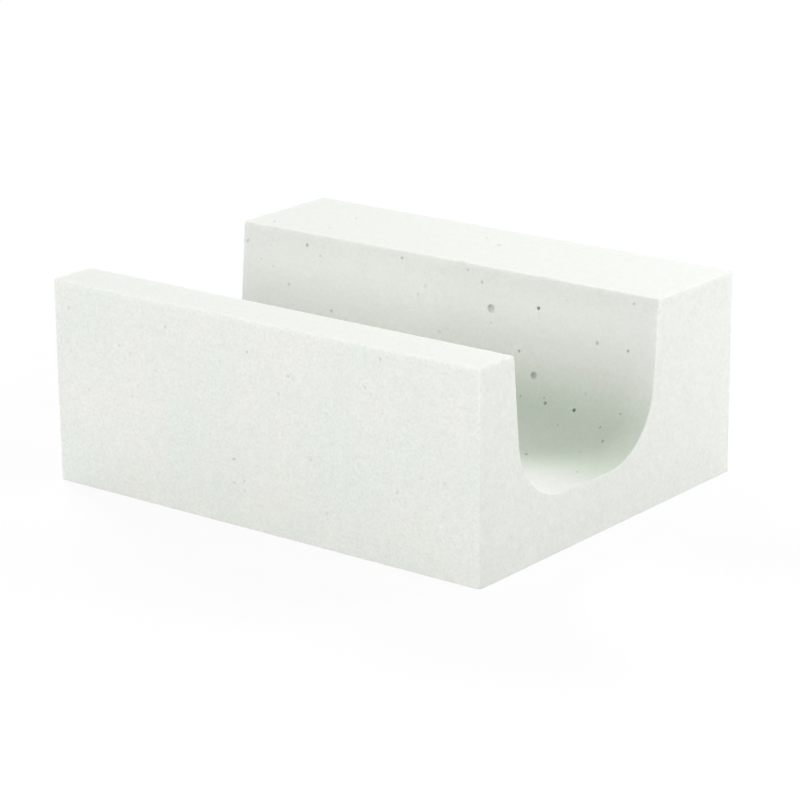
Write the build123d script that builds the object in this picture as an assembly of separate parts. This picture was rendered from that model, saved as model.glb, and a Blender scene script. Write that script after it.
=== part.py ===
from build123d import *

import os
from math import radians, tan

# U-block of aerated concrete, sawn and milled from one piece. It lies with its channel open upwards,
# as the permanent formwork of a ring beam or lintel. Millimetres, +X along the channel, +Y towards the
# thick leg, +Z up. The origin is the middle of the bed face.

# Driving dimensions of the block
LENGTH = 500.0
WIDTH = 400.0
HEIGHT = 200.0

# Driving dimensions of the channel. Leg thicknesses are measured on top, where the legs are thinnest.
THIN_LEG = 50.0
THICK_LEG = 125.0
FLOOR_THICKNESS = 55.0
WALL_DRAFT_DEG = 5.0
CORNER_RADIUS = 70.0

# Rounding of the sawn arrises, and the least flat floor left between the two corner arcs
ARRIS_RADIUS = 1.0
LEAST_FLAT_FLOOR = 2.0

# Places that follow from the driving dimensions
thin_side = -WIDTH / 2
thick_side = WIDTH / 2
thin_mouth = thin_side + THIN_LEG
thick_mouth = thick_side - THICK_LEG
channel_depth = HEIGHT - FLOOR_THICKNESS
wall_run = channel_depth * tan(radians(WALL_DRAFT_DEG))
thin_foot = thin_mouth + wall_run
thick_foot = thick_mouth - wall_run


def corner_radius():
    """Radius of the channel's lower corners, no larger than the floor and the walls leave room for."""
    half_corner = radians(90 + WALL_DRAFT_DEG) / 2
    floor_room = (thick_foot - thin_foot - LEAST_FLAT_FLOOR) / 2
    wall_room = channel_depth - ARRIS_RADIUS
    return min(CORNER_RADIUS, min(floor_room, wall_room) * tan(half_corner))


def u_section():
    """The section across the block: a rectangle with a drafted, round-cornered channel in its top."""
    with BuildSketch(Plane.YZ) as section:
        with BuildLine():
            Polyline(
                (thin_side, 0),
                (thick_side, 0),
                (thick_side, HEIGHT),
                (thick_mouth, HEIGHT),
                (thick_foot, FLOOR_THICKNESS),
                (thin_foot, FLOOR_THICKNESS),
                (thin_mouth, HEIGHT),
                (thin_side, HEIGHT),
                close=True,
            )
        make_face()
        # the sketch's own Y runs up the block
        floor_corners = section.vertices().filter_by_position(Axis.Y, FLOOR_THICKNESS, FLOOR_THICKNESS)
        fillet(floor_corners, radius=corner_radius())
    return section.sketch


def sawn_arrises(block):
    """The sharp edges: the outlines of the end faces, and the long edges of the bed and the leg tops."""
    outlines = block.faces().filter_by(Axis.X).edges()
    long_edges = block.edges().filter_by(Axis.X)
    bed_edges = long_edges.filter_by_position(Axis.Z, 0, 0)
    top_edges = long_edges.filter_by_position(Axis.Z, HEIGHT, HEIGHT)
    return outlines + bed_edges + top_edges


def u_block():
    """The section carried along the block's length, with every sharp arris slightly rounded."""
    block = extrude(u_section(), amount=LENGTH / 2, both=True)
    return fillet(sawn_arrises(block), radius=ARRIS_RADIUS)


os.makedirs("parts", exist_ok=True)
export_step(u_block(), "parts/u_block.step")
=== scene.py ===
"""Looks of a U-block of aerated concrete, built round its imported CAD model.

The block's eight faces are sheets in two parameters, seven flat and one bent along the channel. Each
sheet is pierced by the rims of its open pores, every pore is a bowl hung in its rim, and the arrises are
crumbled. Grain and fine pores are in the material. Lengths are metres in the CAD model's frame, unless a
name says otherwise.
"""

import logging
import math
from abc import ABC, abstractmethod
from dataclasses import dataclass, field, fields
from enum import Enum
from typing import ClassVar, Dict, List, Mapping, Optional, Sequence, Tuple, Union

import bpy
import numpy as np
from mathutils import Matrix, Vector
from mathutils.geometry import delaunay_2d_cdt


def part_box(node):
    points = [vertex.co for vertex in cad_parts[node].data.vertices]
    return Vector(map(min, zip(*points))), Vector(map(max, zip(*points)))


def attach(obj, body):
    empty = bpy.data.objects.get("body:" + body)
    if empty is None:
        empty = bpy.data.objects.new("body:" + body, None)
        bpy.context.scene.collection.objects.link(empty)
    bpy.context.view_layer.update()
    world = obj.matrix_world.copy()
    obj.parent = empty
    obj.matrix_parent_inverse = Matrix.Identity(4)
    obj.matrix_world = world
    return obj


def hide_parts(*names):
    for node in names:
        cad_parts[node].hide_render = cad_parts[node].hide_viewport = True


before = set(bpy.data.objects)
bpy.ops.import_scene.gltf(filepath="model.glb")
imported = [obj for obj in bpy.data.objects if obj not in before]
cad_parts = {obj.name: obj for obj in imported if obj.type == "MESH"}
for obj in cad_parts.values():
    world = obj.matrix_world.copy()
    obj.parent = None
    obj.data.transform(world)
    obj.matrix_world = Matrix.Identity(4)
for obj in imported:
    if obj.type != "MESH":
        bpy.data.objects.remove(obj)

Array = np.ndarray
Colour = Tuple[float, float, float]
Place = Tuple[float, float, float]
Span = Tuple[float, float]
Settings = Optional[Mapping[str, object]]
Sockets = Optional[Mapping[Union[int, str], object]]

MM = 0.001
# Points this near to a face, in metres, count as lying on it
TOUCHING = 1e-6
NODE = "u_block"
BODY = "root"
SLOT = "aerated_concrete"

log = logging.getLogger("u_block_looks")


class Cut(Enum):
    """How a face was made, which sets how coarse its grain is, from 0 to 1."""

    SAWN = 1.0
    TRIMMED = 0.7
    PLANED = 0.45
    MILLED = 0.3


class PoreGrade(Enum):
    """How finely a pore is modelled: its bowl's spokes and rings, and the largest radius for them."""

    SPECK = (10, 3, 1.05 * MM)
    PORE = (16, 5, 2.2 * MM)
    PIT = (28, 8, math.inf)

    @property
    def spokes(self) -> int:
        """Points round the rim."""
        return self.value[0]

    @property
    def rings(self) -> int:
        """Rings from the rim to the bottom, both counted."""
        return self.value[1]

    @property
    def largest_radius(self) -> float:
        """The radius up to which a pore is modelled like this."""
        return self.value[2]


def facing(azimuth: float, elevation: float) -> Array:
    """Works out the right, up and forward directions of a camera or lamp that looks at the block.

    Args:
        azimuth: Radians round the block, with 0 in front of it and a quarter turn at its near end.
        elevation: Radians above the floor.

    Returns:
        Three unit vectors, one a row.
    """
    sin_a, cos_a = math.sin(azimuth), math.cos(azimuth)
    sin_e, cos_e = math.sin(elevation), math.cos(elevation)
    right = [cos_a, sin_a, 0.0]
    up = [-sin_a * sin_e, cos_a * sin_e, cos_e]
    forward = [-sin_a * cos_e, cos_a * cos_e, -sin_e]
    return np.array([right, up, forward])


def posed(axes: Array, place: Array) -> Matrix:
    """Works out the matrix of a camera or lamp, which looks along its own -Z.

    Args:
        axes: Its right, up and forward directions, one a row.
        place: Where it is.

    Returns:
        The matrix for its object.
    """
    right, up, forward = axes
    turned = np.eye(4)
    turned[:3, :3] = np.stack([right, up, -forward], axis=1)
    turned[:3, 3] = place
    return Matrix(turned.tolist())


@dataclass(frozen=True)
class PhotoCamera:
    """A camera at the photograph's viewing angle, for a square picture."""

    azimuth: float = math.radians(38.2)
    elevation: float = math.radians(17.38)
    roll: float = math.radians(0.56)
    distance: float = 2.965
    aim: Place = (0.008, -0.002, 0.078)
    lens_mm: float = 140.0
    sensor_mm: float = 36.0
    picture_px: int = 800

    @property
    def focal_px(self) -> float:
        """The lens's focal length in pixels of the picture."""
        return self.lens_mm / self.sensor_mm * self.picture_px

    def axes(self) -> Array:
        """Works out the picture's right, up and forward directions.

        Returns:
            Three unit vectors, one a row.
        """
        right, up, forward = facing(self.azimuth, self.elevation)
        sin_r, cos_r = math.sin(self.roll), math.cos(self.roll)
        return np.stack([cos_r * right - sin_r * up, cos_r * up + sin_r * right, forward])

    def eye(self) -> Array:
        """Where the lens is."""
        return np.array(self.aim) - self.distance * self.axes()[2]

    def rays(self, pixels: Array) -> Array:
        """Turns places in the picture into directions from the lens.

        Args:
            pixels: Places in pixels from the picture's upper left corner, one a row.

        Returns:
            Directions in the block's frame, one a row.
        """
        offset = (pixels - self.picture_px / 2) / self.focal_px
        right, up, forward = self.axes()
        return offset[:, :1] * right - offset[:, 1:] * up + forward

    def project(self, points: Array) -> Array:
        """Finds where points of the block's frame show in the picture.

        Args:
            points: The points, one a row.

        Returns:
            Places in pixels from the picture's upper left corner, one a row.
        """
        right, up, forward = self.axes() @ (points - self.eye()).T
        return np.column_stack([right, -up]) / forward[:, None] * self.focal_px + self.picture_px / 2

    def build(self) -> bpy.types.Object:
        """Adds the camera and makes it the scene's own.

        Returns:
            The camera's object.
        """
        data = bpy.data.cameras.new("photo_camera")
        data.lens = self.lens_mm
        data.sensor_width = self.sensor_mm
        camera = bpy.data.objects.new("photo_camera", data)
        camera.matrix_world = posed(self.axes(), self.eye())
        bpy.context.scene.collection.objects.link(camera)
        bpy.context.scene.camera = camera
        return camera


@dataclass(frozen=True)
class UBlockShape:
    """The block's outer sizes, and its channel as the CAD model has it."""

    length: float
    width: float
    height: float
    thin_leg: float = 50 * MM
    thick_leg: float = 125 * MM
    floor: float = 55 * MM
    draft: float = math.radians(5.0)
    corner_radius: float = 70 * MM

    @classmethod
    def from_frame(cls, node: str) -> "UBlockShape":
        """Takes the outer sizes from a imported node.

        Args:
            node: The node's name.

        Returns:
            The shape with that node's sizes.
        """
        low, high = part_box(node)
        size = high - low
        return cls(size.x, size.y, size.z)

    @property
    def thin_mouth(self) -> float:
        """Y of the thin leg's inner arris."""
        return -self.width / 2 + self.thin_leg

    @property
    def thick_mouth(self) -> float:
        """Y of the thick leg's inner arris."""
        return self.width / 2 - self.thick_leg

    @property
    def turn(self) -> float:
        """How far the section turns from a wall to the floor."""
        return math.pi / 2 - self.draft

    @property
    def tangent(self) -> float:
        """From a sharp channel corner to where its arc starts."""
        return self.corner_radius * math.tan(self.turn / 2)

    @property
    def runs(self) -> Array:
        """The stretches of the channel's section, from the thin leg's mouth to the thick leg's mouth.

        Returns:
            Lengths of wall, arc, floor, arc and wall.
        """
        depth = self.height - self.floor
        wall = depth / math.cos(self.draft) - self.tangent
        arc = self.corner_radius * self.turn
        mouth = self.thick_mouth - self.thin_mouth
        flat = mouth - 2 * depth * math.tan(self.draft) - 2 * self.tangent
        return np.array([wall, arc, flat, arc, wall])

    def channel_line(self, run: Array) -> Tuple[Array, Array, Array]:
        """Follows the channel's section from the thin leg's mouth to the thick leg's mouth.

        Wall, arc, floor, arc and wall each take their share of the run. A straight share moves along its
        heading, and a share of an arc turns the heading by the share over the radius.

        Args:
            run: Lengths along the section from the thin leg's mouth.

        Returns:
            Y, Z and the heading, as an angle from +Y towards +Z.
        """
        starts = np.concatenate([[0.0], np.cumsum(self.runs)[:-1]])
        wall_down, first, flat, second, wall_up = np.clip(run[:, None] - starts, 0.0, self.runs).T
        radius, turn = self.corner_radius, self.turn
        falling = first / radius - turn
        rising = second / radius
        along = (wall_down + wall_up) * math.cos(turn) + flat
        climb = (wall_up - wall_down) * math.sin(turn)
        y = self.thin_mouth + along + radius * (np.sin(falling) + math.sin(turn) + np.sin(rising))
        z = self.height + climb + radius * (math.cos(turn) - np.cos(falling) + 1 - np.cos(rising))
        return y, z, falling + rising

    def channel_depth(self, points: Array) -> Tuple[Array, Array]:
        """Measures how deep points of the concrete lie below the channel's surface.

        The channel is everything within the corner radius of a thinner channel, whose section is three
        straight lines. So the depth is the distance to the nearest of the three lines, less the radius.

        Args:
            points: Points in or on the concrete, one a row.

        Returns:
            The depths, and the directions towards the channel.
        """
        radius, lean = self.corner_radius, self.draft
        half_flat = self.runs[2] / 2
        middle = (self.thin_mouth + self.thick_mouth) / 2
        left = np.array([middle - half_flat, self.floor + radius])
        right = np.array([middle + half_flat, self.floor + radius])
        rise = self.height * np.array([math.sin(lean), math.cos(lean)])
        starts = np.stack([left, left, right])
        ends = np.stack([right, left + rise * [-1, 1], right + rise])
        legs = ends - starts
        section = points[:, None, 1:]
        share = np.clip(((section - starts) * legs).sum(-1) / (legs**2).sum(-1), 0.0, 1.0)
        reach = starts + share[..., None] * legs - section
        distance = np.linalg.norm(reach, axis=-1)
        nearest = distance.argmin(axis=1)
        rows = np.arange(len(points))
        away = distance[rows, nearest]
        towards = reach[rows, nearest] / away[:, None]
        return away - radius, np.column_stack([np.zeros(len(points)), towards])

    def skins(self, points: Array) -> Tuple[Array, Array]:
        """Measures how deep points lie below each of the block's skins.

        Args:
            points: Points in or on the concrete, one a row.

        Returns:
            Depths below front, back, bed, top, both ends and channel, and the skins' outward directions.
        """
        x, y, z = points.T
        channel, towards = self.channel_depth(points)
        half_length, half_width = self.length / 2, self.width / 2
        depths = [y + half_width, half_width - y, z, self.height - z]
        depths += [half_length - x, half_length + x, channel]
        flat = np.array([[0, -1, 0], [0, 1, 0], [0, 0, -1], [0, 0, 1], [1, 0, 0], [-1, 0, 0]], float)
        outward = np.concatenate([np.broadcast_to(flat, (len(points), 6, 3)), towards[:, None]], axis=1)
        return np.stack(depths, axis=1), outward

    def arris_distance(self, points: Array) -> Array:
        """How far points of the surface lie from an arris: the second smallest of their skin depths."""
        return np.sort(self.skins(points)[0], axis=1)[:, 1]


@dataclass
class Pores:
    """Open pores of one face: centres, radii, depths, leans per radius, and how oval and turned."""

    centre: Array
    radius: Array
    depth: Array
    lean: Array
    oval: Array
    phase: Array

    third_wave: ClassVar[float] = 0.6

    def pick(self, keep: Array) -> "Pores":
        """The pores that a mask or an index keeps."""
        return Pores(*(getattr(self, part.name)[keep] for part in fields(self)))

    def graded(self) -> List[Tuple[PoreGrade, "Pores"]]:
        """Sorts the pores by how finely they are modelled.

        Returns:
            Each grade with its pores.
        """
        index = np.searchsorted([grade.largest_radius for grade in PoreGrade], self.radius)
        groups = [(grade, self.pick(index == number)) for number, grade in enumerate(PoreGrade)]
        return [(grade, some) for grade, some in groups if len(some.radius)]

    def rims(self, spokes: int) -> Array:
        """Rim outlines: radius times one plus a double and a triple wave round the rim.

        Args:
            spokes: Points round a rim.

        Returns:
            Points in the face's parameters, by pore, spoke and parameter.
        """
        angle = np.linspace(0.0, 2 * math.pi, spokes, endpoint=False)
        turned = angle + self.phase[:, None]
        wave = np.cos(2 * turned) + self.third_wave * np.cos(3 * turned + 2 * self.phase[:, None])
        reach = self.radius[:, None] * (1 + self.oval[:, None] * wave)
        spoke = np.stack([np.cos(angle), np.sin(angle)], axis=-1)
        return self.centre[:, None] + reach[..., None] * spoke


@dataclass
class Patch:
    """Points and triangles of a piece of surface, with what the material reads at each point."""

    points: Array
    triangles: Array
    pore_shade: Array
    grain: Array

    @staticmethod
    def joined(patches: Sequence["Patch"]) -> "Patch":
        """Puts patches into one and welds the points that they share.

        Args:
            patches: The patches, whose shared points lie on each other.

        Returns:
            One patch with no doubled points and no triangles without area.
        """
        points = np.concatenate([patch.points for patch in patches])
        starts = np.cumsum([0] + [len(patch.points) for patch in patches[:-1]])
        triangles = np.concatenate([patch.triangles + start for patch, start in zip(patches, starts)])
        weld_step = 1e-7
        cells = np.round(points / weld_step)
        _, first, index = np.unique(cells, axis=0, return_index=True, return_inverse=True)
        triangles = index.ravel()[triangles]
        a, b, c = triangles.T
        triangles = triangles[(a != b) & (b != c) & (c != a)]
        used, triangles = np.unique(triangles, return_inverse=True)
        kept = first[used]
        pore_shade = np.concatenate([patch.pore_shade for patch in patches])[kept]
        grain = np.concatenate([patch.grain for patch in patches])[kept]
        return Patch(points[kept], triangles.reshape(-1, 3), pore_shade, grain)


@dataclass
class Sheet(ABC):
    """One face of the block as a sheet in two parameters: from outside, u runs to the right and v up."""

    name: str
    cut: Cut
    shape: UBlockShape
    outline: Array
    u_lines: Array
    v_lines: Array

    row_insets: Tuple[float, ...] = (0.5 * MM, 1.2 * MM, 2.6 * MM, 5.5 * MM)
    row_strides: Tuple[int, ...] = (1, 1, 2, 4)
    row_clearance: float = 0.9
    lattice_clearance: float = 1.7
    rim_clearance: float = 1.2
    rim_gap: float = 0.25 * MM
    deepest_shade: float = 1.6

    @abstractmethod
    def place(self, uv: Array, depth: Union[float, Array] = 0.0) -> Array:
        """Puts parameters into space.

        Args:
            uv: Parameters, one point a row.
            depth: How far the points are sunk below the face.

        Returns:
            Points in the block's frame, one a row.
        """

    @abstractmethod
    def meet(self, eye: Array, rays: Array) -> Array:
        """Finds where rays meet the face.

        Args:
            eye: Where the rays start.
            rays: Their directions, one a row.

        Returns:
            Parameters, one point a row.
        """

    def inside(self, uv: Array, margin: Union[float, Array]) -> Array:
        """Tells which points lie on the face and clear of its arrises.

        Args:
            uv: Parameters, one point a row.
            margin: How far from an arris a point has to be.

        Returns:
            A mask of the points.
        """
        depths = self.shape.skins(self.place(uv))[0]
        return (depths > -TOUCHING).all(axis=1) & (np.sort(depths, axis=1)[:, 1] > margin)

    def rows(self) -> Array:
        """Points in rows beside the arrises, as the outline moved inwards, with wider steps further in.

        Returns:
            Parameters, one point a row.
        """
        step = np.roll(self.outline, -1, axis=0) - np.roll(self.outline, 1, axis=0)
        inwards = np.column_stack([-step[:, 1], step[:, 0]]) / np.linalg.norm(step, axis=1)[:, None]
        rows = []
        for inset, stride in zip(self.row_insets, self.row_strides):
            row = (self.outline + inset * inwards)[::stride]
            rows.append(row[self.shape.arris_distance(self.place(row)) > self.row_clearance * inset])
        return np.concatenate(rows)

    def lattice(self) -> Array:
        """Loose points between the rows, where the face's u and v lines cross.

        Returns:
            Parameters, one point a row.
        """
        u, v = np.meshgrid(self.u_lines, self.v_lines)
        crossings = np.column_stack([u.ravel(), v.ravel()])
        return crossings[self.inside(crossings, self.lattice_clearance * self.row_insets[-1])]

    def skin(self, pores: Pores) -> Patch:
        """Triangulates the face between its outline and the rims of its pores.

        Args:
            pores: The face's pores.

        Returns:
            The face with an open hole at every pore.
        """
        loops = [self.outline[None]] + [some.rims(grade.spokes) for grade, some in pores.graded()]
        loose = np.concatenate([self.rows(), self.lattice()])
        if len(pores.radius):
            away = np.linalg.norm(loose[:, None] - pores.centre, axis=-1)
            gap = away - self.rim_clearance * pores.radius
            loose = loose[gap.min(axis=1) > self.rim_gap]
        points = np.concatenate([loop.reshape(-1, 2) for loop in loops] + [loose])

        # Each loop is a closed ring of edges, and each point knows the loop that it belongs to
        edges, owners, start, owner = [], [], 0, 0
        for loop in loops:
            count, spokes = loop.shape[:2]
            index = start + np.arange(count * spokes).reshape(count, spokes)
            edges.append(np.stack([index, np.roll(index, -1, axis=1)], axis=-1).reshape(-1, 2))
            owners.append(np.repeat(owner + np.arange(count), spokes))
            start, owner = start + count * spokes, owner + count
        owners.append(np.arange(owner, owner + len(loose)))
        hole = np.concatenate(owners)
        inside_constraints, weld_mm = 1, 1e-6
        ring_edges = np.concatenate(edges).tolist()
        made = delaunay_2d_cdt((points / MM).tolist(), ring_edges, [], inside_constraints, weld_mm)
        if len(made[0]) != len(points):
            raise ValueError(f"{self.name}: pores or rows of the face cross each other")

        # A triangle whose three corners are on one rim would close that pore
        triangles = np.array(made[2])
        ring = hole[triangles]
        in_hole = (ring[:, 0] > 0) & (ring[:, 0] == ring[:, 1]) & (ring[:, 1] == ring[:, 2])
        flat = np.zeros(len(points))
        return Patch(self.place(points), triangles[~in_hole], flat, flat + self.cut.value)

    def bowls(self, grade: PoreGrade, pores: Pores) -> Patch:
        """Hangs a bowl in the rim of each pore.

        A bowl is a grid of spokes by rings. With a swing from 0 at the rim to a quarter turn at the bottom,
        a ring is the rim shrunk by the swing's cosine, and it lies at the pore's depth times the swing's
        sine. It moves sideways by the pore's lean times the same sine, so a leaning pore undercuts its rim
        on one side.

        Args:
            grade: The number of spokes and rings.
            pores: Pores of that grade.

        Returns:
            All the bowls as one patch.
        """
        swing = np.linspace(0.0, math.pi / 2, grade.rings)
        spread = pores.rims(grade.spokes) - pores.centre[:, None]
        aside = (pores.radius[:, None] * pores.lean)[:, None] * np.sin(swing)[None, :, None]
        middle = (pores.centre[:, None] + aside)[:, :, None]
        uv = middle + np.cos(swing)[None, :, None, None] * spread[:, None]
        sunk = np.broadcast_to((pores.depth[:, None] * np.sin(swing))[..., None], uv.shape[:3])
        index = np.arange(sunk.size).reshape(sunk.shape)
        outer, inner = index[:, :-1], index[:, 1:]
        outer_next, inner_next = np.roll(outer, -1, axis=2), np.roll(inner, -1, axis=2)
        halves = [np.stack(corners, axis=-1).reshape(-1, 3)
                  for corners in ((outer, outer_next, inner_next), (outer, inner_next, inner))]
        # Painted shade: the material darkens each bowl towards its bottom, more for a pore that is deep for
        # its width
        pore_shade = np.broadcast_to(np.sin(swing)[None, :, None], sunk.shape)
        shade = np.minimum(pores.depth / pores.radius, self.deepest_shade)[:, None, None]
        return Patch(
            self.place(uv.reshape(-1, 2), sunk.ravel()),
            np.concatenate(halves),
            (pore_shade * shade).ravel(),
            np.full(sunk.size, self.cut.value),
        )

    def surface(self, pores: Pores) -> List[Patch]:
        """The pierced face and all its bowls."""
        return [self.skin(pores)] + [self.bowls(grade, some) for grade, some in pores.graded()]


@dataclass
class FlatSheet(Sheet):
    """A flat face: a corner, plus u and v times its axes, less the depth times the axes' cross product."""

    corner: Array = field(default_factory=lambda: np.zeros(3))
    u_axis: Array = field(default_factory=lambda: np.array([1.0, 0.0, 0.0]))
    v_axis: Array = field(default_factory=lambda: np.array([0.0, 1.0, 0.0]))

    @property
    def outward(self) -> Array:
        """The direction out of the concrete."""
        return np.cross(self.u_axis, self.v_axis)

    def place(self, uv: Array, depth: Union[float, Array] = 0.0) -> Array:
        """Puts parameters into space, sunk below the face by a depth."""
        sunk = np.broadcast_to(depth, len(uv))
        return self.corner + uv @ np.stack([self.u_axis, self.v_axis]) - sunk[:, None] * self.outward

    def meet(self, eye: Array, rays: Array) -> Array:
        """Finds where rays meet the face's plane.

        Args:
            eye: Where the rays start.
            rays: Their directions, one a row.

        Returns:
            Parameters, one point a row.
        """
        reach = ((self.corner - eye) @ self.outward) / (rays @ self.outward)
        offset = eye + reach[:, None] * rays - self.corner
        return np.column_stack([offset @ self.u_axis, offset @ self.v_axis])


@dataclass
class ChannelSheet(Sheet):
    """The channel's face rolled out: u along the block, v along the section from the thin leg's mouth."""

    samples: int = 4000

    def place(self, uv: Array, depth: Union[float, Array] = 0.0) -> Array:
        """Puts parameters into space, sunk below the face by a depth."""
        y, z, heading = self.shape.channel_line(uv[:, 1])
        return np.column_stack([uv[:, 0], y + depth * np.sin(heading), z - depth * np.cos(heading)])

    def meet(self, eye: Array, rays: Array) -> Array:
        """Finds the parameters where rays from the eye meet the channel.

        The section's line is sampled finely. A ray meets it where the samples change sides of the ray, as
        seen along the block, and the meeting point within the block's length is the one that counts.

        Args:
            eye: Where the rays start.
            rays: Their directions, one a row.

        Returns:
            Parameters, one point a row.
        """
        run = np.linspace(0.0, float(self.shape.runs.sum()), self.samples)
        y, z, _ = self.shape.channel_line(run)
        side = rays[:, 1:2] * (z - eye[2]) - rays[:, 2:3] * (y - eye[1])
        crossing = side[:, :-1] * side[:, 1:] <= 0
        reach = (y[:-1] - eye[1]) / rays[:, 1:2]
        u = eye[0] + reach * rays[:, :1]
        crossing &= np.abs(u) < self.shape.length / 2
        best = np.where(crossing, reach, np.inf).argmin(axis=1)
        return np.column_stack([u[np.arange(len(rays)), best], run[best]])


@dataclass(frozen=True)
class SeenPore:
    """A pore of the photograph: its place there in pixels, its width, and its depth and lean per radius."""

    x_px: float
    y_px: float
    width_mm: float
    steepness: float = 0.9
    lean: Tuple[float, float] = (0.0, 0.0)


@dataclass(frozen=True)
class PoreSpread:
    """How thickly pores of one size lie on a face, all over or only where the photograph hides it."""

    per_square_metre: float
    width_mm: Span
    steepness: Span = (0.5, 1.0)
    only_hidden: bool = False


SEEN_PORES: Dict[str, Tuple[SeenPore, ...]] = {
    "channel": (
        SeenPore(491.3, 308.5, 8.7, 0.85, (-0.45, 0.45)),
        SeenPore(533.8, 375.5, 7.6, 0.92, (-0.45, 0.35)),
        SeenPore(538.4, 308.2, 4.0, 2.2),
        SeenPore(573.8, 410, 4.1, 2.2),
        SeenPore(248, 240, 4.2, 0.8),
        SeenPore(307, 245, 3.8, 1.1),
        SeenPore(320, 256, 2.6, 0.75),
        SeenPore(271, 245, 2.9, 0.6),
        SeenPore(261, 258, 3.0, 0.6),
        SeenPore(273, 266, 3.5, 0.55),
        SeenPore(289, 284, 4.2, 0.6),
        SeenPore(402, 258, 3.4, 1.0),
        SeenPore(468, 270, 3.4, 0.7),
        SeenPore(482, 282, 3.3, 0.85),
        SeenPore(425, 286, 4.6, 0.55),
        SeenPore(418, 294, 4.0, 0.65),
        SeenPore(331, 311, 3.8, 0.85),
        SeenPore(439, 332, 5.2, 0.55),
        SeenPore(491, 322, 3.2, 0.45),
        SeenPore(567, 300, 2.6, 0.55),
        SeenPore(634, 304, 3.4, 0.8),
        SeenPore(597, 343, 4.3, 0.95),
        SeenPore(628, 351, 3.3, 1.0),
        SeenPore(519, 351, 3.5, 1.1),
        SeenPore(545, 403, 4.2, 1.1),
        SeenPore(544, 398, 2.8, 0.7),
        SeenPore(586, 394, 2.8, 0.5),
        SeenPore(520, 396, 3.1, 0.8),
        SeenPore(620, 414, 3.9, 0.65),
        SeenPore(600, 427, 2.6, 1.0),
        SeenPore(602, 441, 4.0, 0.95),
        SeenPore(526, 454, 5.0, 2.4),
        SeenPore(577, 472, 3.2, 0.75),
        SeenPore(557, 425, 3.0, 0.65),
    ),
    "front": (
        SeenPore(69, 308, 4.6, 0.6),
        SeenPore(165, 327, 3.4, 0.7),
        SeenPore(119, 346, 3.1, 0.5),
        SeenPore(130, 353, 3.0, 0.6),
        SeenPore(219, 361, 3.8, 0.5),
        SeenPore(247, 352, 3.2, 0.7),
        SeenPore(156, 371, 3.2, 0.5),
        SeenPore(89, 389, 2.9, 0.55),
        SeenPore(132, 396, 3.3, 0.45),
        SeenPore(288, 376, 4.0, 0.65),
        SeenPore(278, 394, 3.7, 0.65),
        SeenPore(380, 359, 3.7, 0.65),
        SeenPore(365, 388, 3.6, 0.5),
        SeenPore(371, 394, 3.1, 0.5),
        SeenPore(408, 421, 2.7, 0.55),
        SeenPore(382, 414, 2.8, 0.5),
        SeenPore(210, 434, 2.7, 0.5),
        SeenPore(234, 459, 3.6, 0.8),
        SeenPore(244, 481, 3.5, 0.7),
        SeenPore(234, 483, 3.5, 0.65),
        SeenPore(245, 492, 4.6, 0.5),
        SeenPore(311, 459, 4.4, 0.5),
        SeenPore(327, 514, 4.0, 0.65),
        SeenPore(397, 493, 4.2, 0.6),
        SeenPore(445, 484, 4.2, 0.5),
    ),
    "thick_top": (
        SeenPore(356, 218, 3.4, 0.9),
        SeenPore(487, 238, 4.2, 0.85),
        SeenPore(498, 245, 6.2, 0.8),
        SeenPore(329, 228, 4.6, 0.85),
        SeenPore(274, 221, 4.6, 0.9),
    ),
}

SPREADS: Dict[Cut, Tuple[PoreSpread, ...]] = {
    Cut.SAWN: (
        PoreSpread(240, (2.1, 3.1), (0.5, 0.8), only_hidden=True),
        PoreSpread(1800, (0.9, 1.8), only_hidden=True),
        PoreSpread(1400, (0.8, 1.5), (0.3, 0.6)),
    ),
    Cut.TRIMMED: (
        PoreSpread(160, (2.1, 3.1), (0.5, 0.8), only_hidden=True),
        PoreSpread(1300, (0.9, 1.8), only_hidden=True),
        PoreSpread(900, (0.8, 1.5), (0.3, 0.6)),
    ),
    Cut.PLANED: (
        PoreSpread(90, (2.1, 2.9), (0.5, 1.0), only_hidden=True),
        PoreSpread(800, (0.9, 1.7), only_hidden=True),
        PoreSpread(500, (0.8, 1.4), (0.3, 0.6)),
    ),
    Cut.MILLED: (
        PoreSpread(16, (5.0, 7.6), (0.7, 0.9), only_hidden=True),
        PoreSpread(240, (2.4, 3.8), (0.6, 1.2), only_hidden=True),
        PoreSpread(900, (1.0, 1.9), only_hidden=True),
        PoreSpread(700, (0.9, 1.5), (0.4, 0.8)),
    ),
}


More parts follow.
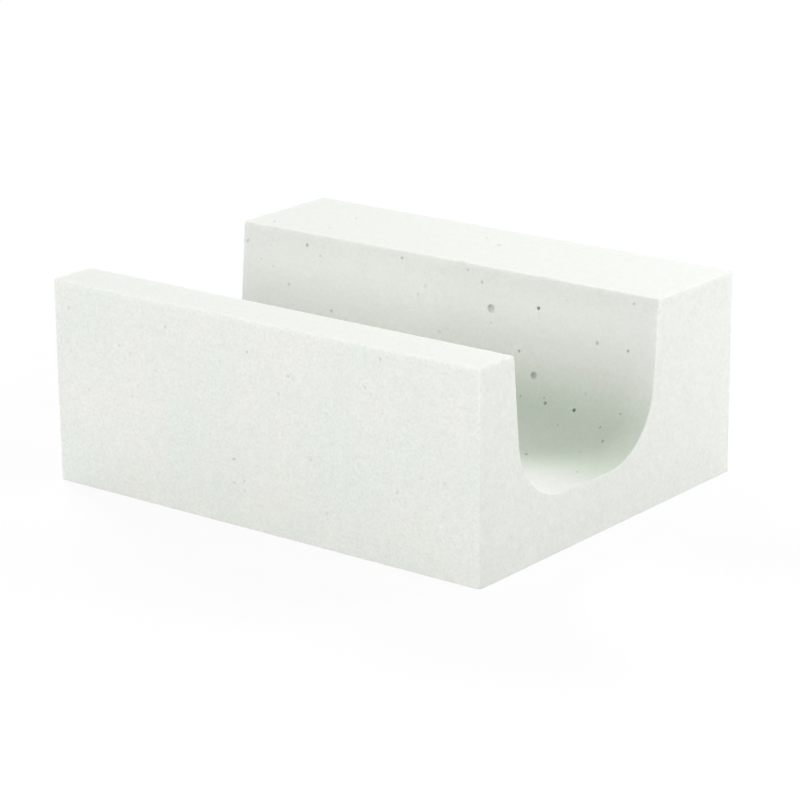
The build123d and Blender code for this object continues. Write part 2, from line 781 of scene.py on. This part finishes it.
@dataclass
class PoreField:
    """Chooses where each face's pores are: those that show in the photograph, then seeded random ones."""

    camera: PhotoCamera
    random: np.random.Generator
    largest_oval: float = 0.07
    largest_lean: float = 0.25
    arris_gap: float = 2.0 * MM
    pore_gap: float = 0.9 * MM
    crowding: float = 1.15

    def seen(self, sheet: Sheet) -> Tuple[Array, Array, Array, Array]:
        """Places the photograph's pores of one face, where the camera's rays meet it.

        Args:
            sheet: The face.

        Returns:
            Centres in the face's parameters, radii, depths and leans.
        """
        marks = SEEN_PORES.get(sheet.name, ())
        pixels = np.array([[mark.x_px, mark.y_px] for mark in marks]).reshape(-1, 2)
        radius = np.array([mark.width_mm for mark in marks]) * MM / 2
        depth = radius * np.array([mark.steepness for mark in marks])
        lean = np.array([mark.lean for mark in marks]).reshape(-1, 2)
        return sheet.meet(self.camera.eye(), self.camera.rays(pixels)), radius, depth, lean

    def shows(self, sheet: Sheet, uv: Array) -> Array:
        """Tells which places of a face the photograph shows.

        A place shows where the face turns to the lens, unless the line of sight meets the thin leg's inner
        plane below the leg's top and short of its near end.

        Args:
            sheet: The face.
            uv: Places in the face's parameters, one a row.

        Returns:
            A mask of the places.
        """
        shape, points = sheet.shape, sheet.place(uv)
        sight = self.camera.eye() - points
        turned = ((points - sheet.place(uv, MM)) * sight).sum(axis=1) > 0
        share = (shape.thin_mouth - points[:, 1]) / sight[:, 1]
        crossing = points + share[:, None] * sight
        behind = (share > 0) & (crossing[:, 2] < shape.height) & (crossing[:, 0] < shape.length / 2)
        return turned & ~behind

    def scattered(self, sheet: Sheet, spread: PoreSpread) -> Tuple[Array, Array, Array, Array]:
        """Scatters pores of one size over a face's outline box, so that the face has its number.

        Args:
            sheet: The face.
            spread: How many, and how wide.

        Returns:
            Centres in the face's parameters, radii, depths and leans.
        """
        low, high = sheet.outline.min(axis=0), sheet.outline.max(axis=0)
        count = int(round(spread.per_square_metre * float(np.prod(high - low))))
        centre = self.random.uniform(low, high, (count, 2))
        small, large = spread.width_mm
        radius = (small + (large - small) * self.random.random(count) ** 2) * MM / 2
        depth = radius * self.random.uniform(*spread.steepness, count)
        lean = self.random.uniform(-self.largest_lean, self.largest_lean, (count, 2))
        keep = ~self.shows(sheet, centre) if spread.only_hidden else np.ones(count, bool)
        return centre[keep], radius[keep], depth[keep], lean[keep]

    def pores(self, sheet: Sheet) -> Pores:
        """Chooses a face's pores, and leaves out what comes too near an arris or an earlier pore.

        Args:
            sheet: The face.

        Returns:
            The face's pores.
        """
        groups = [self.seen(sheet)] + [self.scattered(sheet, spread) for spread in SPREADS[sheet.cut]]
        centre, radius, depth, lean = (np.concatenate(parts) for parts in zip(*groups))
        oval = self.random.uniform(0.0, self.largest_oval, len(radius))
        phase = self.random.uniform(0.0, 2 * math.pi, len(radius))
        clear = sheet.inside(centre, radius + self.arris_gap)
        pores = Pores(centre, radius, depth, lean, oval, phase).pick(clear)
        apart = np.linalg.norm(pores.centre[:, None] - pores.centre, axis=-1)
        needed = self.crowding * (pores.radius[:, None] + pores.radius) + self.pore_gap
        crowded = np.tril(apart < needed, k=-1).any(axis=1)
        return pores.pick(~crowded)


@dataclass(frozen=True)
class SeenChip:
    """A chip of the photograph: its place there in pixels, its width on each face, and its reach."""

    x_px: float
    y_px: float
    width_mm: float
    reach_mm: float


SEEN_CHIPS: Tuple[SeenChip, ...] = (
    SeenChip(458, 259, 3.0, 2.6),
    SeenChip(463, 260, 3.6, 3.0),
    SeenChip(536, 276, 2.4, 5.0),
    SeenChip(545, 278, 2.8, 5.0),
    SeenChip(553, 280, 2.2, 4.0),
    SeenChip(274, 226, 1.8, 1.8),
    SeenChip(656, 314, 3.4, 2.6),
    SeenChip(515, 382, 1.2, 2.0),
    SeenChip(482, 366, 1.8, 1.5),
    SeenChip(487, 364.5, 2.2, 1.6),
    SeenChip(493, 361, 2.0, 1.6),
    SeenChip(497, 359.5, 1.8, 1.3),
    SeenChip(503, 358, 2.0, 1.5),
    SeenChip(154, 303, 1.6, 1.6),
    SeenChip(286, 326, 1.6, 1.8),
    SeenChip(480, 592, 3.0, 3.5),
    SeenChip(59, 449, 2.2, 2.0),
)


@dataclass
class Arrises:
    """The block's edges: rounded a little, crumbled unevenly, with small chips broken out.

    The photograph shows few chips, so the random ones are shallower on arrises that are turned to the lens.
    """

    shape: UBlockShape
    camera: PhotoCamera
    random: np.random.Generator
    least_radius: float = 0.35 * MM
    crumble: float = 0.45 * MM
    wave_lengths: Tuple[float, ...] = (31 * MM, 17 * MM, 9 * MM, 5 * MM)
    waves_each: int = 12
    contrast: float = 1.7
    raggedness: float = 0.5
    chip_count: int = 420
    chip_width: Span = (0.3 * MM, 1.8 * MM)
    chip_reach: Span = (1.2 * MM, 4.0 * MM)
    chip_fade: float = 4.0
    share_where_seen: float = 0.35

    def unevenness(self, points: Array) -> Array:
        """A seeded rough field from 0 to 1: plane waves of several lengths and random directions, added up.

        Args:
            points: Where the field is read, one a row.

        Returns:
            The field's values.
        """
        total = np.zeros(len(points))
        for length in self.wave_lengths:
            heading = self.random.normal(size=(self.waves_each, 3))
            heading *= 2 * math.pi / length / np.linalg.norm(heading, axis=1)[:, None]
            start = self.random.uniform(0.0, 2 * math.pi, self.waves_each)
            total += np.sin(points @ heading.T + start).mean(axis=1)
        spread = total / (math.sqrt(0.5 / self.waves_each) * math.sqrt(len(self.wave_lengths)))
        return 1 / (1 + np.exp(-self.contrast * spread))

    def chips(self, edge_points: Array, turned: Array) -> Tuple[Array, Array, Array]:
        """Chooses where the arrises are chipped: seeded random places, and those nearest to the seen chips.

        Args:
            edge_points: Points on the arrises, one a row.
            turned: A mask of the points that are turned to the lens.

        Returns:
            The chips' middles, how much they widen the arris, and how far they reach along it.
        """
        places = self.random.choice(len(edge_points), self.chip_count, replace=False)
        small, large = self.chip_width
        width = small + (large - small) * self.random.random(self.chip_count) ** 3
        width *= np.where(turned[places], self.share_where_seen, 1.0)
        short, far = self.chip_reach
        reach = short + (far - short) * self.random.random(self.chip_count)
        seen_px = np.array([[chip.x_px, chip.y_px] for chip in SEEN_CHIPS])
        seen_mm = np.array([[chip.width_mm, chip.reach_mm] for chip in SEEN_CHIPS])
        apart = np.linalg.norm(seen_px[:, None] - self.camera.project(edge_points), axis=-1)
        middle = edge_points[np.concatenate([places, apart.argmin(axis=1)])]
        width = np.concatenate([width, seen_mm[:, 0] * MM])
        reach = np.concatenate([reach, seen_mm[:, 1] * MM])
        return middle, width, reach

    def round_off(self, points: Array) -> Array:
        """Rounds and chips the arrises of the sharp block.

        Each skin that is nearer than the arris radius pulls a point along its own direction, by the radius
        less the depth below it. The point goes back by that pull, and then out again by one radius in its
        direction, so that it lands on a round arris. The radius changes from place to place with the
        crumble and the chips.

        Args:
            points: Points on the faces of the sharp block, one a row.

        Returns:
            The points on the crumbled block.
        """
        depths, outward = self.shape.skins(points)
        order = np.sort(depths, axis=1)
        on_edge = order[:, 1] < TOUCHING
        sight = (self.camera.eye() - points)[:, None]
        turned = ((depths < TOUCHING) & ((outward * sight).sum(axis=-1) > 0)).any(axis=1)
        middle, width, reach = self.chips(points[on_edge], turned[on_edge])
        radius = self.least_radius + self.crumble * self.unevenness(points)
        radius *= 1 + self.raggedness * (self.random.random(len(points)) - 0.5)
        near = order[:, 1] < self.chip_fade * reach.max()
        away = np.linalg.norm(points[near][:, None] - middle, axis=-1) / reach
        radius[near] += (width * np.exp(-away**2)).sum(axis=1)
        pull = np.maximum(radius[:, None] - depths, 0.0)
        summed = (pull[..., None] * outward).sum(axis=1)
        length = np.linalg.norm(summed, axis=1)[:, None]
        return points - summed + radius[:, None] * summed / length


class Value:
    """A shader socket that holds a number, with arithmetic that adds Math nodes."""

    def __init__(self, shader: "Shader", socket: bpy.types.NodeSocket) -> None:
        """Wraps a socket of a shader."""
        self.shader = shader
        self.socket = socket

    def maths(self, operation: str, *terms: Union["Value", float]) -> "Value":
        """Adds a Math node.

        Args:
            operation: The node's operation.
            terms: Its inputs in order.

        Returns:
            The node's result.
        """
        return self.shader.value("ShaderNodeMath", 0, {"operation": operation}, dict(enumerate(terms)))

    def __add__(self, other: Union["Value", float]) -> "Value":
        """This plus another."""
        return self.maths("ADD", self, other)

    __radd__ = __add__

    def __mul__(self, other: Union["Value", float]) -> "Value":
        """This times another."""
        return self.maths("MULTIPLY", self, other)

    __rmul__ = __mul__

    def __sub__(self, other: Union["Value", float]) -> "Value":
        """This less another."""
        return self.maths("SUBTRACT", self, other)

    def __rsub__(self, other: Union["Value", float]) -> "Value":
        """Another less this."""
        return self.maths("SUBTRACT", other, self)

    def most(self, other: Union["Value", float]) -> "Value":
        """The larger of this and another."""
        return self.maths("MAXIMUM", self, other)

    def ramp(self, low: float, high: float) -> "Value":
        """Eases smoothly from one place to another, of which either may be the larger.

        Args:
            low: Where the result is 0.
            high: Where it is 1.

        Returns:
            The eased value.
        """
        start, end = (0.0, 1.0) if low < high else (1.0, 0.0)
        sockets = {0: self, 1: min(low, high), 2: max(low, high), 3: start, 4: end}
        return self.shader.value("ShaderNodeMapRange", 0, {"interpolation_type": "SMOOTHSTEP"}, sockets)


@dataclass(frozen=True)
class Pattern:
    """A noise: about how many lumps it has to a metre, and how much finer detail lies on them."""

    per_metre: float
    detail: float
    roughness: float = 0.5


class Shader:
    """A node tree that is filled by one method for every kind of node."""

    def __init__(self, tree: bpy.types.NodeTree) -> None:
        """Empties a tree."""
        self.tree = tree
        tree.nodes.clear()

    def add(self, kind: str, settings: Settings = None, sockets: Sockets = None) -> bpy.types.Node:
        """Adds a node.

        Args:
            kind: The node's type.
            settings: Its own settings, which are set first.
            sockets: Values or links of its inputs, by name or number.

        Returns:
            The node.
        """
        node = self.tree.nodes.new(kind)
        for name, setting in (settings or {}).items():
            setattr(node, name, setting)
        for name, value in (sockets or {}).items():
            if isinstance(value, Value):
                self.tree.links.new(value.socket, node.inputs[name])
            elif isinstance(value, bpy.types.NodeSocket):
                self.tree.links.new(value, node.inputs[name])
            else:
                node.inputs[name].default_value = value
        return node

    def value(self, kind: str, output: Union[int, str], settings: Settings = None,
              sockets: Sockets = None) -> Value:
        """Adds a node and wraps one of its outputs."""
        return Value(self, self.add(kind, settings, sockets).outputs[output])

    def noise(self, place: bpy.types.NodeSocket, pattern: Pattern) -> Value:
        """Adds a noise.

        Args:
            place: Where the noise is read.
            pattern: How fine it is.

        Returns:
            A value from 0 to 1.
        """
        sockets = {
            "Vector": place,
            "Scale": pattern.per_metre,
            "Detail": pattern.detail,
            "Roughness": pattern.roughness,
        }
        return self.value("ShaderNodeTexNoise", 0, {"noise_dimensions": "3D"}, sockets)

    def swing(self, place: bpy.types.NodeSocket, pattern: Pattern) -> Value:
        """Adds a noise from -0.5 to 0.5."""
        return self.noise(place, pattern) - 0.5

    def mix_colour(self, share: Value, first: object, second: object) -> bpy.types.NodeSocket:
        """Mixes two colours.

        Args:
            share: How much there is of the second colour.
            first: A colour or a link.
            second: A colour or a link.

        Returns:
            The mixed colour.
        """
        whole = [(*colour, 1.0) if isinstance(colour, tuple) else colour for colour in (first, second)]
        node = self.add("ShaderNodeMix", {"data_type": "RGBA"}, {0: share, 6: whole[0], 7: whole[1]})
        return node.outputs[2]

    def mix_surface(self, share: Value, first: bpy.types.Node,
                    second: bpy.types.Node) -> bpy.types.NodeSocket:
        """Mixes two shaders by the second one's share."""
        sockets = {0: share, 1: first.outputs[0], 2: second.outputs[0]}
        return self.add("ShaderNodeMixShader", sockets=sockets).outputs[0]

    def scaled(self, colour: bpy.types.NodeSocket, factor: Value) -> bpy.types.NodeSocket:
        """Brightens or darkens a colour by a factor."""
        node = self.add("ShaderNodeVectorMath", {"operation": "SCALE"}, {"Vector": colour, "Scale": factor})
        return node.outputs[0]


@dataclass(frozen=True)
class AeratedConcrete:
    """The block's finish: off-white and dull, with grain, cut bubbles, painted highlights and painted
    shade.
    """

    cool: Colour = (0.850, 0.886, 0.837)
    warm: Colour = (0.878, 0.886, 0.843)
    milled: Colour = (0.880, 0.886, 0.858)
    # Painted shade: a darker, greener tint for the low far side of the channel, which the thin leg shades
    inner: Colour = (0.757, 0.862, 0.728)
    # Painted shade: the dark colour that the pores' bowls take towards their bottoms
    pore_shade: Colour = (0.42, 0.44, 0.40)
    roughness: float = 0.93
    roughness_change: float = 0.08
    specular: float = 0.25

    clouds: Pattern = Pattern(16.0, 2.0)
    lumps: Pattern = Pattern(90.0, 3.0, 0.9)
    grain: Pattern = Pattern(330.0, 1.0)
    relief: Pattern = Pattern(150.0, 3.0)
    fine: Pattern = Pattern(900.0, 1.0)
    saw_lines: Pattern = Pattern(260.0, 2.0)
    saw_stretch: Tuple[float, float, float] = (0.02, 1.0, 1.0)
    bubbles_per_metre: float = 260.0
    bubble_chance: Span = (0.35, 1.0)
    bubble_fade: Span = (0.40, 0.15)
    cloud_fade: Span = (0.35, 0.65)
    pore_shade_fade: Span = (0.1, 1.5)

    lump_tone: float = 0.15
    grain_tone: float = 0.18
    # Painted shade: how much darker the cut bubbles are
    bubble_shade: float = 0.05
    saw_tone: float = 0.02
    # Painted highlights: how much paler the upper arrises and the tops are
    arris_highlight: float = 0.08
    top_highlight: float = 0.055
    least_mottle: float = 0.35
    milled_share: float = 0.7
    even_warmth: float = 0.6
    # Heights of the painted arris highlight and of the painted top highlight
    arris_highlight_z: Span = (120 * MM, 190 * MM)
    top_highlight_z: Span = (198 * MM, 199.5 * MM)
    # Where the painted channel shade lies: towards the far side, and low down
    channel_shade_y: Span = (-60 * MM, 0 * MM)
    channel_shade_z: Span = (130 * MM, 80 * MM)

    relief_height: float = 0.25 * MM
    least_relief: float = 0.5
    coarse_relief: float = 0.25
    fine_relief: float = 0.15
    bubble_relief: float = 0.4
    saw_relief: float = 0.15

    def material(self, name: str) -> bpy.types.Material:
        """Builds the material.

        Args:
            name: The material's name.

        Returns:
            The material.
        """
        material = bpy.data.materials.new(name)
        material.use_nodes = True
        shader = Shader(material.node_tree)
        place = shader.add("ShaderNodeTexCoord").outputs["Object"]
        axes = shader.add("ShaderNodeSeparateXYZ", sockets={0: place})
        y, z = Value(shader, axes.outputs[1]), Value(shader, axes.outputs[2])
        coarse, pore_shade, arris = (shader.value("ShaderNodeAttribute", "Fac", {"attribute_name": layer})
                                 for layer in ("grain", "pore_shade", "arris"))

        # Patterns
        clouds = shader.noise(place, self.clouds).ramp(*self.cloud_fade)
        lumps = shader.swing(place, self.lumps)
        grain = shader.swing(place, self.grain)
        relief = shader.swing(place, self.relief)
        fine = shader.swing(place, self.fine)
        bubbles = {"Vector": place, "Scale": self.bubbles_per_metre, "Randomness": 1.0}
        cells = shader.add("ShaderNodeTexVoronoi", {"feature": "F1"}, bubbles)
        chance = shader.value("ShaderNodeSeparateColor", 0, sockets={0: cells.outputs["Color"]})
        from_middle = Value(shader, cells.outputs["Distance"])
        hollow = from_middle.ramp(*self.bubble_fade) * chance.ramp(*self.bubble_chance)
        stretched = shader.add("ShaderNodeMapping", sockets={"Vector": place, "Scale": self.saw_stretch})
        saw_lines = shader.swing(stretched.outputs[0], self.saw_lines) * (1.0 - coarse)

        # Colour
        in_channel = self.milled_share * coarse.ramp(Cut.PLANED.value, Cut.MILLED.value)
        # Painted shade: the milled colour turns darker and greener low on the channel's far side
        milled = shader.mix_colour(y.ramp(*self.channel_shade_y) * z.ramp(*self.channel_shade_z), self.milled, self.inner)
        even = coarse.ramp(Cut.SAWN.value, Cut.TRIMMED.value)
        warmth = clouds + (self.even_warmth - clouds) * even
        outside = shader.mix_colour(warmth, self.cool, self.warm)
        tone = shader.mix_colour(in_channel, outside, milled)
        strength = self.least_mottle + (1.0 - self.least_mottle) * coarse
        mottle = strength * (self.lump_tone * lumps + self.grain_tone * grain)
        # Painted highlights: paler upper arrises, and paler tops
        painted_highlight = self.arris_highlight * arris * z.ramp(*self.arris_highlight_z) + self.top_highlight * z.ramp(*self.top_highlight_z)
        # The factor also darkens the cut bubbles, as painted shade
        factor = 1.0 + mottle + self.saw_tone * saw_lines - coarse * self.bubble_shade * hollow + painted_highlight
        plain = shader.scaled(tone, factor)
        # Painted shade: the pores' bowls darken towards their bottoms
        dressed = shader.mix_colour(pore_shade.ramp(*self.pore_shade_fade), plain, self.pore_shade)

        # Relief
        height = (self.least_relief + self.coarse_relief * coarse) * (relief + self.fine_relief * fine)
        height = height - self.bubble_relief * coarse * hollow + self.saw_relief * saw_lines
        heights = {"Strength": 1.0, "Distance": self.relief_height, "Height": height}
        bump = shader.add("ShaderNodeBump", sockets=heights)

        sockets = {
            "Base Color": dressed,
            "Roughness": self.roughness + self.roughness_change * lumps,
            "Specular IOR Level": self.specular,
            "Normal": bump.outputs[0],
        }
        surface = shader.add("ShaderNodeBsdfPrincipled", sockets=sockets)
        shader.add("ShaderNodeOutputMaterial", sockets={"Surface": surface.outputs[0]})
        return material


@dataclass
class AeratedBlock:
    """The block as it is seen: the CAD model's shape with open pores and crumbled arrises."""

    shape: UBlockShape
    camera: PhotoCamera
    finish: AeratedConcrete
    seed: int = 7
    edge_step: float = 1.5 * MM
    lattice_step: float = 12.0 * MM
    arc_step: float = 4.0 * MM
    arris_fade: float = 2.0 * MM
    sharp_angle: float = math.radians(32.0)
    name: str = "aerated_block"

    def line(self, start: float, end: float, step: Optional[float] = None) -> Array:
        """Evenly spaced places from start to end, about one step apart."""
        count = max(2, int(round(abs(end - start) / (step or self.edge_step))) + 1)
        return np.linspace(start, end, count)

    @staticmethod
    def loop(u_line: Array, v_line: Array) -> Array:
        """Follows a rectangle's outline, counter-clockwise from its lower left corner.

        Args:
            u_line: Places along its lower and upper side, from left to right.
            v_line: Places along its left and right side, from bottom to top.

        Returns:
            Points at those places, one a row.
        """
        u_low, u_high = np.full_like(v_line, u_line[0]), np.full_like(v_line, u_line[-1])
        v_low, v_high = np.full_like(u_line, v_line[0]), np.full_like(u_line, v_line[-1])
        sides = [(u_line, v_low), (u_high, v_line), (u_line[::-1], v_high), (u_low, v_line[::-1])]
        return np.concatenate([np.column_stack(side)[:-1] for side in sides])

    def end_outline(self) -> Array:
        """The section's outline in Y and Z, counter-clockwise from the foot of the thin leg.

        Returns:
            Points one step apart, one a row.
        """
        shape = self.shape
        run = self.line(0.0, float(shape.runs.sum()))
        channel_y, channel_z, _ = shape.channel_line(run[::-1])
        across, up = self.line(-shape.width / 2, shape.width / 2), self.line(0.0, shape.height)
        thin = self.line(-shape.width / 2, shape.thin_mouth)
        thick = self.line(shape.thick_mouth, shape.width / 2)
        sides = [
            (across, np.zeros_like(across)),
            (np.full_like(up, shape.width / 2), up),
            (thick[::-1], np.full_like(thick, shape.height)),
            (channel_y, channel_z),
            (thin[::-1], np.full_like(thin, shape.height)),
            (np.full_like(up, -shape.width / 2), up[::-1]),
        ]
        return np.concatenate([np.column_stack(side)[:-1] for side in sides])

    def sheets(self) -> List[Sheet]:
        """Lays out the block's eight faces, which share the places along their common arrises.

        Returns:
            The faces.
        """
        shape = self.shape
        half_length, half_width = shape.length / 2, shape.width / 2
        x_axis, y_axis, z_axis = np.eye(3)
        along = self.line(-half_length, half_length)
        across = self.line(-half_width, half_width)
        up = self.line(0.0, shape.height)
        thin = self.line(-half_width, shape.thin_mouth)
        thick = self.line(shape.thick_mouth, half_width)
        run = self.line(0.0, float(shape.runs.sum()))
        section = self.end_outline()
        mirrored = (section * [-1.0, 1.0])[::-1]
        wide_x = self.line(-half_length, half_length, self.lattice_step)
        wide_y = self.line(-half_width, half_width, self.lattice_step)
        wide_z = self.line(0.0, shape.height, self.lattice_step)
        bends = self.line(0.0, float(shape.runs.sum()), self.arc_step)

        def flat(name: str, cut: Cut, outline: Array, lines: Tuple[Array, Array], corner: Array,
                 u_axis: Array, v_axis: Array) -> FlatSheet:
            """Makes one flat face."""
            return FlatSheet(name, cut, shape, outline, *lines, corner=corner, u_axis=u_axis, v_axis=v_axis)

        rect = self.loop
        front, back = -half_width * y_axis, half_width * y_axis
        bed, top = 0.0 * z_axis, shape.height * z_axis
        near, far = half_length * x_axis, -half_length * x_axis
        return [
            flat("front", Cut.SAWN, rect(along, up), (wide_x, wide_z), front, x_axis, z_axis),
            flat("back", Cut.SAWN, rect(along, up), (wide_x, wide_z), back, -x_axis, z_axis),
            flat("bed", Cut.PLANED, rect(along, across), (wide_x, wide_y), bed, x_axis, -y_axis),
            flat("thin_top", Cut.PLANED, rect(along, thin), (wide_x, wide_y), top, x_axis, y_axis),
            flat("thick_top", Cut.PLANED, rect(along, thick), (wide_x, wide_y), top, x_axis, y_axis),
            flat("near_end", Cut.TRIMMED, section, (wide_y, wide_z), near, y_axis, z_axis),
            flat("far_end", Cut.TRIMMED, mirrored, (wide_y, wide_z), far, -y_axis, z_axis),
            ChannelSheet("channel", Cut.MILLED, shape, rect(along, run), wide_x, bends),
        ]

    def build(self) -> bpy.types.Object:
        """Makes the block's mesh.

        Returns:
            The block's object, riding on the CAD body and standing for the CAD node.
        """
        random = np.random.default_rng(self.seed)
        pore_field = PoreField(self.camera, random)
        patches: List[Patch] = []
        for sheet in self.sheets():
            pores = pore_field.pores(sheet)
            patches += sheet.surface(pores)
            log.info("%s: %d pores", sheet.name, len(pores.radius))
        whole = Patch.joined(patches)
        # The material paints a highlight by this nearness to an arris
        arris = np.exp(-self.shape.arris_distance(whole.points) / self.arris_fade)
        on_face = whole.pore_shade == 0.0
        whole.points[on_face] = Arrises(self.shape, self.camera, random).round_off(whole.points[on_face])
        return self.to_object(whole, arris)

    def to_object(self, patch: Patch, arris: Array) -> bpy.types.Object:
        """Puts a patch into Blender.

        Args:
            patch: The whole surface.
            arris: How near each point is to an arris, from 1 on it to 0 far away.

        Returns:
            The object, shaded smooth with sharp rims and arrises.
        """
        mesh = bpy.data.meshes.new(self.name)
        mesh.from_pydata(patch.points.tolist(), [], patch.triangles.tolist())
        for name, values in (("pore_shade", patch.pore_shade), ("grain", patch.grain), ("arris", arris)):
            layer = mesh.attributes.new(name, "FLOAT", "POINT")
            layer.data.foreach_set("value", values.astype(np.float32))
        mesh.shade_smooth()
        mesh.set_sharp_from_angle(angle=self.sharp_angle)
        mesh.update()
        block = bpy.data.objects.new(self.name, mesh)
        bpy.context.scene.collection.objects.link(block)
        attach(block, BODY)
        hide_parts(NODE)
        return block

    def dress(self, block: bpy.types.Object) -> None:
        """Gives the block its finish."""
        block.data.materials.append(self.finish.material(SLOT))


@dataclass(frozen=True)
class SoftBox:
    """A square studio lamp that looks at the block: azimuth 0 is in front, 90 at the block's near end."""

    name: str
    azimuth_deg: float
    elevation_deg: float
    watts: float
    distance: float = 4.0
    side: float = 1.6
    look_at: Place = (0.0, 0.0, 0.1)

    def build(self) -> bpy.types.Object:
        """Adds the lamp.

        Returns:
            The lamp's object.
        """
        data = bpy.data.lights.new(self.name, "AREA")
        data.size = self.side
        data.energy = self.watts
        lamp = bpy.data.objects.new(self.name, data)
        axes = facing(math.radians(self.azimuth_deg), math.radians(self.elevation_deg))
        lamp.matrix_world = posed(axes, np.array(self.look_at) - self.distance * axes[2])
        lamp.visible_camera = False
        bpy.context.scene.collection.objects.link(lamp)
        return lamp


@dataclass
class Studio:
    """A pale floor, soft lamps and a white surround."""

    lamps: Tuple[SoftBox, ...] = (
        SoftBox("front_low_box", 0, 1, 1.7, 2.0, 0.25),
        SoftBox("left_low_box", -50, 1, 8.0, 4.0, 0.3),
        SoftBox("front_box", 0, 20, 52.5),
        SoftBox("front_right_box", 20, 20, 9.1),
        SoftBox("left_top_box", -60, 62, 10.1),
        SoftBox("near_side_box", 90, 35, 48.4),
        SoftBox("near_back_box", 135, 35, 14.6, 2.2, 0.9),
        SoftBox("far_back_box", -150, 35, 76.0, 8.0, 3.2),
        SoftBox("far_end_box", -120, 35, 308.0, 8.0, 3.2),
    )
    floor_side: float = 12.0
    floor_grey: float = 0.92
    floor_white: float = 1.02
    surround_strength: float = 0.12
    shadow_share: float = 0.15
    shadow_fade: Span = (1.1, 0.45)

    @staticmethod
    def seen_directly(shader: Shader) -> Value:
        """Tells rays from the camera, and those that a mirror or glass sends on, from all others.

        Args:
            shader: The node tree that has to know.

        Returns:
            1 for those rays, and 0 for the others.
        """
        path = shader.add("ShaderNodeLightPath")
        seen = [Value(shader, path.outputs[name])
                for name in ("Is Camera Ray", "Is Glossy Ray", "Is Transmission Ray")]
        return seen[0].most(seen[1]).most(seen[2])

    def floor_material(self) -> bpy.types.Material:
        """A pale dull floor that shows white, and darker only where the block's shadow lies close to it.

        Returns:
            The material.
        """
        material = bpy.data.materials.new("pale_floor")
        material.use_nodes = True
        shader = Shader(material.node_tree)
        grey = (self.floor_grey, self.floor_grey, self.floor_grey, 1.0)
        dull = shader.add("ShaderNodeBsdfDiffuse", sockets={"Color": grey})
        white = shader.add("ShaderNodeEmission", sockets={"Strength": self.floor_white})
        place = shader.add("ShaderNodeTexCoord").outputs["Object"]
        away = shader.value("ShaderNodeVectorMath", "Value", {"operation": "LENGTH"}, {0: place})
        share = 1.0 - self.shadow_share * away.ramp(*self.shadow_fade)
        mixed = shader.mix_surface(self.seen_directly(shader) * share, dull, white)
        shader.add("ShaderNodeOutputMaterial", sockets={"Surface": mixed})
        return material

    def floor(self) -> bpy.types.Object:
        """Lays the floor: a grid of four corners at half the side each way.

        Returns:
            The floor's object.
        """
        half = self.floor_side / 2
        x, y = np.meshgrid([-half, half], [-half, half])
        corners = np.column_stack([x.ravel(), y.ravel(), np.zeros(4)])
        mesh = bpy.data.meshes.new("floor")
        mesh.from_pydata(corners.tolist(), [], [(0, 1, 3, 2)])
        mesh.materials.append(self.floor_material())
        floor = bpy.data.objects.new("floor", mesh)
        bpy.context.scene.collection.objects.link(floor)
        return floor

    def surround(self) -> None:
        """Lights the block softly from all sides, and shows white behind it."""
        world = bpy.data.worlds.new("white_surround")
        world.use_nodes = True
        shader = Shader(world.node_tree)
        plain_white = (1.0, 1.0, 1.0, 1.0)
        lighting = {"Color": plain_white, "Strength": self.surround_strength}
        showing = {"Color": plain_white, "Strength": 1.0}
        soft = shader.add("ShaderNodeBackground", sockets=lighting)
        white = shader.add("ShaderNodeBackground", sockets=showing)
        mixed = shader.mix_surface(self.seen_directly(shader), soft, white)
        shader.add("ShaderNodeOutputWorld", sockets={"Surface": mixed})
        bpy.context.scene.world = world

    def build(self) -> None:
        """Sets up the floor, the lamps and the surround."""
        self.floor()
        self.surround()
        for lamp in self.lamps:
            lamp.build()
            log.info("lamp %s", lamp.name)
        bpy.context.scene.view_settings.view_transform = "Standard"


def main() -> None:
    """Builds the block, the studio and the camera."""
    logging.basicConfig(level=logging.INFO, format="%(name)s: %(message)s")
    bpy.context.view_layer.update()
    camera = PhotoCamera()
    camera.build()
    assembly = AeratedBlock(UBlockShape.from_frame(NODE), camera, AeratedConcrete())
    block = assembly.build()
    assembly.dress(block)
    log.info("%s: %d triangles", block.name, len(block.data.polygons))
    Studio().build()


if __name__ == "__main__":
    main()
